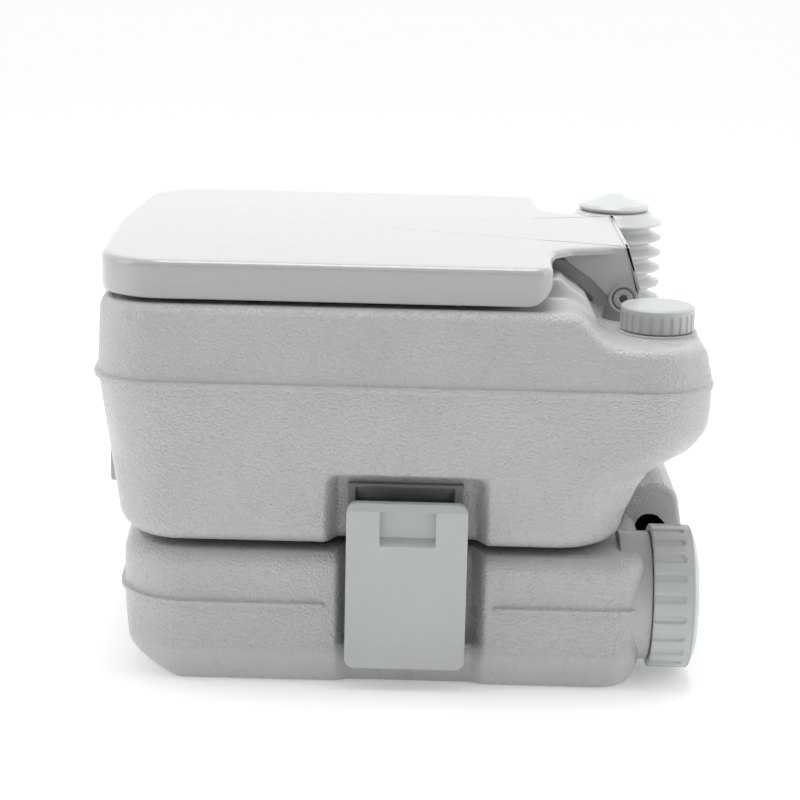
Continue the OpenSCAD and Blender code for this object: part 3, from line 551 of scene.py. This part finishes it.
ear = rounded_outline([(20, 160), (28, 160), (28, 175), (20, 175)], [1, 1, 3.5, 3.5])
for low in (-21, 25):
    shells.append(slab(ear[::-1, ::-1], low, low + 8, 0.8, "y"))
    shells.append(slab(ear[:, ::-1] * (-1, 1), low, low + 8, 0.8, "y"))
holding_tank = piece("holding_tank_skin", shells, "holding_tank", "tank", tank_skin, "holding_tank")
mark_grain(holding_tank, lambda x, y, z:
           smooth(z, 19, 27) * (1 - smooth(z, 89.5, 90.9) * within(y, -186, 150, 4))
           * np.where((y > 149) & (np.hypot(x - spout_x, z - spout_z) < 46), 0, 1)
           * np.where((np.abs(x) < 63) & (y > 188), 0, 1))


# ---- slide valve ----
# The valve is screwed into the channel: a body and a cover in light polypropylene with the sliding blade
# between them, and a pull handle on the blade's stem at the front.
def ease_edges(node, width):
    """Rounds the sharp edges of a CAD node's own mesh by a width in millimetres, without moving its faces."""
    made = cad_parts[node]
    made.modifiers.new("weld", "WELD").merge_threshold = 1e-6
    flat = made.modifiers.new("flat", "DECIMATE")
    flat.decimate_type, flat.angle_limit = "DISSOLVE", np.radians(0.5)
    bevel = made.modifiers.new("edge", "BEVEL")
    bevel.width, bevel.segments, bevel.angle_limit = width / 1000, 2, np.radians(35)
    bevel.use_clamp_overlap, bevel.miter_outer = True, "MITER_ARC"
    made.modifiers.new("normals", "WEIGHTED_NORMAL").keep_sharp = True
    made.data.polygons.foreach_set("use_smooth", np.ones(len(made.data.polygons), bool))
    return made


def finish_node(node, material, width=0):
    """Gives a CAD node its material and, where a width is given, eased edges."""
    made = ease_edges(node, width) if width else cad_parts[node]
    made.data.materials.clear()
    made.data.materials.append(material)


# injection-moulded polypropylene: a much finer surface than the tanks
valve_skin = moulded("moulded_polypropylene", "#d6d8d8", 0.3, 0.6, 0.012)
for node in ("valve_body", "valve_cover", "valve_blade"):
    finish_node(node, valve_skin)

# ---- latches and keepers ----
# A plate hangs on a pin at the foot of each side and hooks into a darker keeper let into the upper tank.
# Plates and handle are satin polypropylene.
cap_skin = moulded("satin_polypropylene", "#bbbebd", 0.34, 0.7, 0.014)
keeper_skin = moulded("dark_polypropylene", "#7d807f", 0.45, 0.8, 0.03)
for node in ("latch_left", "latch_right"):
    finish_node(node, cap_skin, 0.7)
for node in ("keeper_left", "keeper_right"):
    finish_node(node, keeper_skin, 0.4)
finish_node("valve_handle", cap_skin, 1.2)


# ---- seat ----
# The seat is a ring in glossy light grey polypropylene, its rim rounded inside and out, with two arms to the
# hinge.
lid_skin = moulded("gloss_polypropylene", "#b3b4b3", 0.12, 0.9, 0.003, mottle=0.004, coat=0.4)
seat_half, seat_front, seat_rear = 156, -199, 82
hole_y, hole_long, hole_wide = -62, 118, 92
seat_columns = plan_columns(spread(-150, 60, 6), spread(-134, 134, 7), spread(-124, 124, 7), 44, 22, 4,
                            seat_half, hold=40)
out_x, out_y = seat_columns[5:]
seat_x, seat_y = stand(seat_columns, seat_half, seat_front, seat_rear)
hole = np.arctan2((seat_y - hole_y) / hole_long, seat_x / hole_wide)
rim_x, rim_y = hole_wide * np.cos(hole), hole_y + hole_long * np.sin(hole)
bottom, top = 261.0, 276.0
turn = np.linspace(0, np.pi / 2, 8)[:, None]
outer_in = np.concatenate([3 * (1 - np.sin(turn)), 6 * (1 - np.cos(turn))])
outer_z = np.concatenate([bottom + 3 * (1 - np.cos(turn)), top - 6 + 6 * np.sin(turn)])
outer_row_x, outer_row_y = seat_x - out_x * outer_in, seat_y - out_y * outer_in
inner_in = np.concatenate([7 * (1 - np.cos(turn[::-1])), 3 * (1 - np.sin(turn[::-1]))])
inner_z = np.concatenate([top - 7 + 7 * np.sin(turn[::-1]), bottom + 3 * (1 - np.cos(turn[::-1]))])
inner_row_x = rim_x + np.cos(hole) * inner_in
inner_row_y = rim_y + np.sin(hole) * inner_in
share = np.linspace(0, 1, 12)[1:-1, None]
top_x = outer_row_x[-1] + share * (inner_row_x[0] - outer_row_x[-1])
top_y = outer_row_y[-1] + share * (inner_row_y[0] - outer_row_y[-1])
low_x = inner_row_x[-1] + share * (outer_row_x[0] - inner_row_x[-1])
low_y = inner_row_y[-1] + share * (outer_row_y[0] - inner_row_y[-1])
rows = [(outer_row_x, outer_row_y, outer_z + 0 * seat_x), (top_x, top_y, top + 0.0 * top_x),
        (inner_row_x, inner_row_y, inner_z + 0 * seat_x), (low_x, low_y, bottom + 0.0 * low_x)]
ring = np.concatenate([np.stack(np.broadcast_arrays(*group), -1) for group in rows])
seat_arm = rounded_outline([(70, 262), (112, 263), (141, 240), (159, 241), (161, 252), (155, 259), (118, 275),
                            (70, 275)], [1, 12, 7, 7, 4, 6, 12, 1])
shells = [shell(ring, "joined")] + [slab(seat_arm, low, low + 8, 1, "x") for low in (55, -63)]
piece("seat_shell", shells, "seat", "lid", lid_skin, "seat_ring")


# ---- lid ----
# The lid is a thin glossy moulding with a rounded edge and a skirt. Its tongue runs back between the
# shoulders and turns down into two arms, with a flange across its end and a bossed eye for each hinge pin.
lid_top, skirt_foot, wall = 286.0, 260.0, 2.6
tongue = [(163, 97), (112, 98.5), (93, 102), (81, 113), (76, 127), (71, 140), (68, 153)]
corners = (tongue + [(-x, y) for x, y in tongue[::-1]]
           + [(-163, -199.5), (-90, -204), (0, -207.6), (90, -204), (163, -199.5)])
radii = [14, 60, 8, 8, 12, 12, 1, 1, 12, 12, 8, 8, 60, 14, 45, 300, 300, 300, 45]
edge = rounded_outline(corners, radii, 12)
lengths = np.linalg.norm(np.diff(np.vstack([edge, edge[:1]]), axis=0), axis=1)
around = np.concatenate([[0], np.cumsum(lengths)])
even = np.linspace(0, around[-1], 520, endpoint=False)
edge = np.stack([np.interp(even, around, np.append(edge[:, k], edge[0, k])) for k in (0, 1)], -1)
way = inward(edge)
rise = 18 - np.sqrt(18 ** 2 - np.clip(edge[:, 1] - 80, 0, 17.99) ** 2)
skirt_z = np.where(edge[:, 1] > 98.2, lid_top - 3.4, np.minimum(skirt_foot + rise, lid_top - 3.4))
turn = np.linspace(0, np.pi / 2, 9)
round_in, round_z = 4.5 * (1 - np.sin(turn)), lid_top - 0.8 - 4.5 + 4.5 * np.cos(turn)
centre = np.array([0, -60])


def ring_at(inset, height):
    """The lid's edge moved in by inset, at a height."""
    flat = edge + way * inset
    return np.concatenate([flat, np.broadcast_to(height, len(edge))[:, None]], 1)


def crown(rows):
    """Lifts the middle of the top so that it is a shallow dome."""
    reach = np.linalg.norm((rows[..., :2] - centre) / (163, 150), axis=-1)
    rows[..., 2] += 0.8 * (1 - np.clip(reach, 0, 1) ** 2)
    return rows


inside = ring_at(4.5, lid_top - 0.8)
share = np.linspace(0.03, 1, 16)[:-1, None, None]
top_rows = crown(np.concatenate([centre + share * (inside[None, :, :2] - centre),
                                 np.broadcast_to(inside[None, :, 2:], (15, len(edge), 1))], -1))
bend = [ring_at(i, h) for i, h in zip(round_in, round_z)]
drop = np.linspace(0, 1, 6)[1:, None]
bend_foot, ceiling = round_z[-1], lid_top - 3.2
lip_top = np.minimum(skirt_z + 1.0, bend_foot)
side_rows = [ring_at(0, z) for z in bend_foot + drop * (lip_top - bend_foot)]
lip_rows = [ring_at(wall / 2 * (1 - np.cos(a)), lip_top - 1.0 * np.sin(a))
            for a in np.linspace(0, np.pi, 7)[1:]]
low_rows = [ring_at(wall, z) for z in lip_top + drop * (ceiling - lip_top)]
under_rows = np.concatenate([centre + share[::-1] * (ring_at(wall, 0)[None, :, :2] - centre),
                             np.full((15, len(edge), 1), ceiling)], -1)
rows = np.concatenate([top_rows, bend, side_rows, lip_rows, low_rows, under_rows])
hinge_y, hinge_z = 151, 249
bite = np.radians(np.linspace(5, 172, 20))
arm = np.vstack([[(104.5, 284.5), (104.5, 281), (108, 277), (113, 272), (121, 266.5), (128, 262), (134, 256),
                  (138.5, 251.5)],
                 np.stack([hinge_y + 9.6 * np.cos(bite), hinge_z + 9.6 * np.sin(bite)], -1)[::-1],
                 [(162.6, 256), (152.8, 284.5)]])
eye = rounded_profile([(7.7, 64.5), (10.5, 64.5), (10.5, 70.2), (9.2, 70.2), (7.7, 69.4), (7.7, 64.5)],
                      [0.3, 0.8, 0.5, 0.4])

# the flange is full width above the tank's lugs and reaches down only outside them, so that it clears them
# when the lid is open
flange_top, flange_radii = [(153.6, 285.2), (150.6, 285.2)], [0.5, 0.6, 0.9, 0.6]
flange = rounded_outline([(160.6, 255.5), (162.8, 255.8)] + flange_top, flange_radii)
upper_flange = rounded_outline([(156.6, 268), (158.9, 268.5)] + flange_top, flange_radii)
shells = [shell(rows, "poles"), slab(upper_flange, -70.4, 70.4, 0.5, "x")]
for side in (1, -1):
    shells.append(slab(arm, *sorted((side * 64.5, side * 69.5)), 1, "x"))
    shells.append(slab(flange, *sorted((side * 57, side * 70.4)), 0.5, "x"))
    shells.append(turned_shell(eye * (1, side), "x", (0, hinge_y, hinge_z), 72, "joined"))
piece("lid_shell", shells, "lid", "lid", lid_skin, "lid")

# ---- hinge pins ----
# Each pin is a hollow satin polypropylene plug pushed through the eyes from outside, its end chamfered.
pin = rounded_profile([(0, 40), (6.9, 40), (6.9, 69.2), (6.2, 70), (3.4, 70), (2.8, 69.4), (2.8, 54),
                       (0, 54)], [0.6, 0.3, 0.2, 0.2, 0.2, 0.2])
shells = [turned_shell(pin * (1, side), "x", (0, hinge_y, hinge_z), 64) for side in (1, -1)]
piece("hinge_plugs", shells, "flush_unit", "cap", cap_skin, "hinge_pins")

# ---- bellows pump ----
# The bellows is soft satin polyethylene, blown in two halves: wide cones that meet short necks, with a fine
# seam down two sides. A dome for the palm closes it.
bellows_skin = moulded("soft_polyethylene", "#cfd1d2", 0.24, 1.0, 0.01, mottle=0.02)
bellows_low, bellows_high = box_mm("pump_bellows")
foot, crest = bellows_low[2], bellows_high[2]
pitch, pleats = 11.7, 6
first = foot + 5.7


def seam(angle, height, radius):
    """A ridge 0.15 mm high and about 0.6 mm wide where the two halves of the mould met."""
    return 0.15 * np.exp(-(np.sin(angle) * radius / 0.35) ** 2) * (radius > 8)


pleat = np.array([(36.9, -1.0), (37.5, 0), (36.9, 0.9), (30.2, 4.2), (28.6, 5.3), (28.5, 7.9), (30.0, 8.9)])
wave = np.concatenate([pleat + (0, first + i * pitch) for i in range(pleats)])[:-3]
outside = np.vstack([[(20, foot), (33.8, foot), (33.8, foot + 1.2), (31, foot + 1.2), (30.6, first - 3.4)],
                     wave, [(29, crest - 1.5), (26, crest - 0.2), (24, crest), (4, crest)]])
shells = [turned_shell(outside, "z", (pump_x, pump_y, 0), 144, push=seam)]
bellows = piece("bellows", shells, "flush_unit", "bellows", bellows_skin, "pump_bellows")
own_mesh(bellows)
dome_low, dome_high = box_mm("pump_dome")
rim, peak = dome_low[2], dome_high[2]
dome_outline = rounded_profile([(0, rim), (24.5, rim), (24.5, rim + 0.6), (27, rim + 1.2), (27, rim + 2.8),
                                (24.8, rim + 5), (15, rim + 8.7), (5, rim + 12), (0, peak)],
                               [0.2, 0.2, 0.8, 0.9, 2.5, 20, 8])
shells = [turned_shell(dome_outline, "z", (pump_x, pump_y, 0), 144, push=seam)]
piece("dome", shells, "pump_dome", "bellows", bellows_skin, "pump_dome")
for node in ("pump_collar", "pump_base", "flush_nozzle", "nozzle_nut", "suction_strainer"):
    finish_node(node, cap_skin, 0.3 if node == "pump_collar" else 0)


# ---- screw caps ----
# Both caps are injection-moulded in satin polypropylene, with a ring of round-ended flutes for the fingers,
# open towards the tank.
def flutes(count, radius, width, depth, foot, end):
    """Round-ended flutes pressed into a cap's side. A flute is the strip within width / 2 of a line that
    runs up the side to end, and its floor meets the side over 0.4 mm."""
    def push(angle, height, r):
        across = radius * ((angle * count / (2 * np.pi) + 0.5) % 1 - 0.5) * 2 * np.pi / count
        off = np.hypot(across, np.maximum(height - end, 0))
        return -depth * (1 - smooth(off, width / 2 - 0.4, width / 2)) * (r > radius - 0.8) * (height > foot)
    return push


def cap_profile(outer, height, bevel, dome, bore, depth, side_step):
    """A cap's profile, from the middle of its face out, down its side in short steps, and up its bore."""
    face, side_top = height - dome, height - dome - bevel[1]
    lip = rounded_profile([(0, height), (outer - bevel[0] - 1, face), (outer - bevel[0], face),
                           (outer, side_top), (outer, side_top - 1)], [1, 3, 1.6])
    side = np.arange(side_top - 1.5, 0.8, -side_step)
    foot = [(outer, 0.8), (outer - 0.3, 0.2), (outer - 0.9, 0), (bore + 0.5, 0), (bore, 0.5), (bore, depth),
            (0, depth)]
    return np.vstack([lip, np.stack([np.full(side.size, outer), side], -1), foot])


filler_low, filler_high = box_mm("filler_cap")
tall = filler_high[2] - filler_low[2]
profile = cap_profile(25, tall, (1.6, 1.4), 0.9, 22.3, 12.8, 0.45) + (0, filler_low[2])
cap = turned_shell(profile, "z", (filler_x, filler_y, 0), 24 * 16,
                   push=flutes(24, 25, 3.4, 0.9, -1, filler_low[2] + 10.6))
piece("filler_cap_skin", [cap], "filler_cap", "cap", cap_skin, "filler_cap")
drain_low, drain_high = box_mm("drain_cap")
profile = cap_profile(49, drain_high[1] - drain_low[1], (9, 3.5), 0.8, 42.3, 24.4, 0.6) + (0, drain_low[1])
cap = turned_shell(profile, "y", (spout_x, 0, spout_z), 22 * 18,
                   push=flutes(22, 49, 6.4, 1.4, -1, drain_low[1] + 18.5))
piece("drain_cap_skin", [cap], "drain_cap", "cap", cap_skin, "drain_cap")

# ---- seals, hoses and metal ----
# Moulded black rubber seals and buffers, milky flexible tube inside the flush tank, and plain stainless pins,
# screws and clips.
rubber = moulded("moulded_rubber", "#2b2c2d", 0.6, 0.5, 0.02)
for node in ("valve_gasket", "valve_lip_seal", "drain_cap_seal", "filler_cap_seal", "pump_intake_flap",
             "pump_outlet_flap", "seat_buffers", "lid_buffers"):
    finish_node(node, rubber)
tube_skin = moulded("flexible_tube", "#c9d3d6", 0.2, 1.2, 0.01)
for node in ("suction_tube", "delivery_hose"):
    finish_node(node, tube_skin)
steel = moulded("stainless_steel", "#b4b6b8", 0.3, 0.4, 0.004)
steel.node_tree.nodes["Principled BSDF"].inputs["Metallic"].default_value = 1
for node in ("valve_screws", "latch_pins", "handle_pin", "hose_clips"):
    finish_node(node, steel)
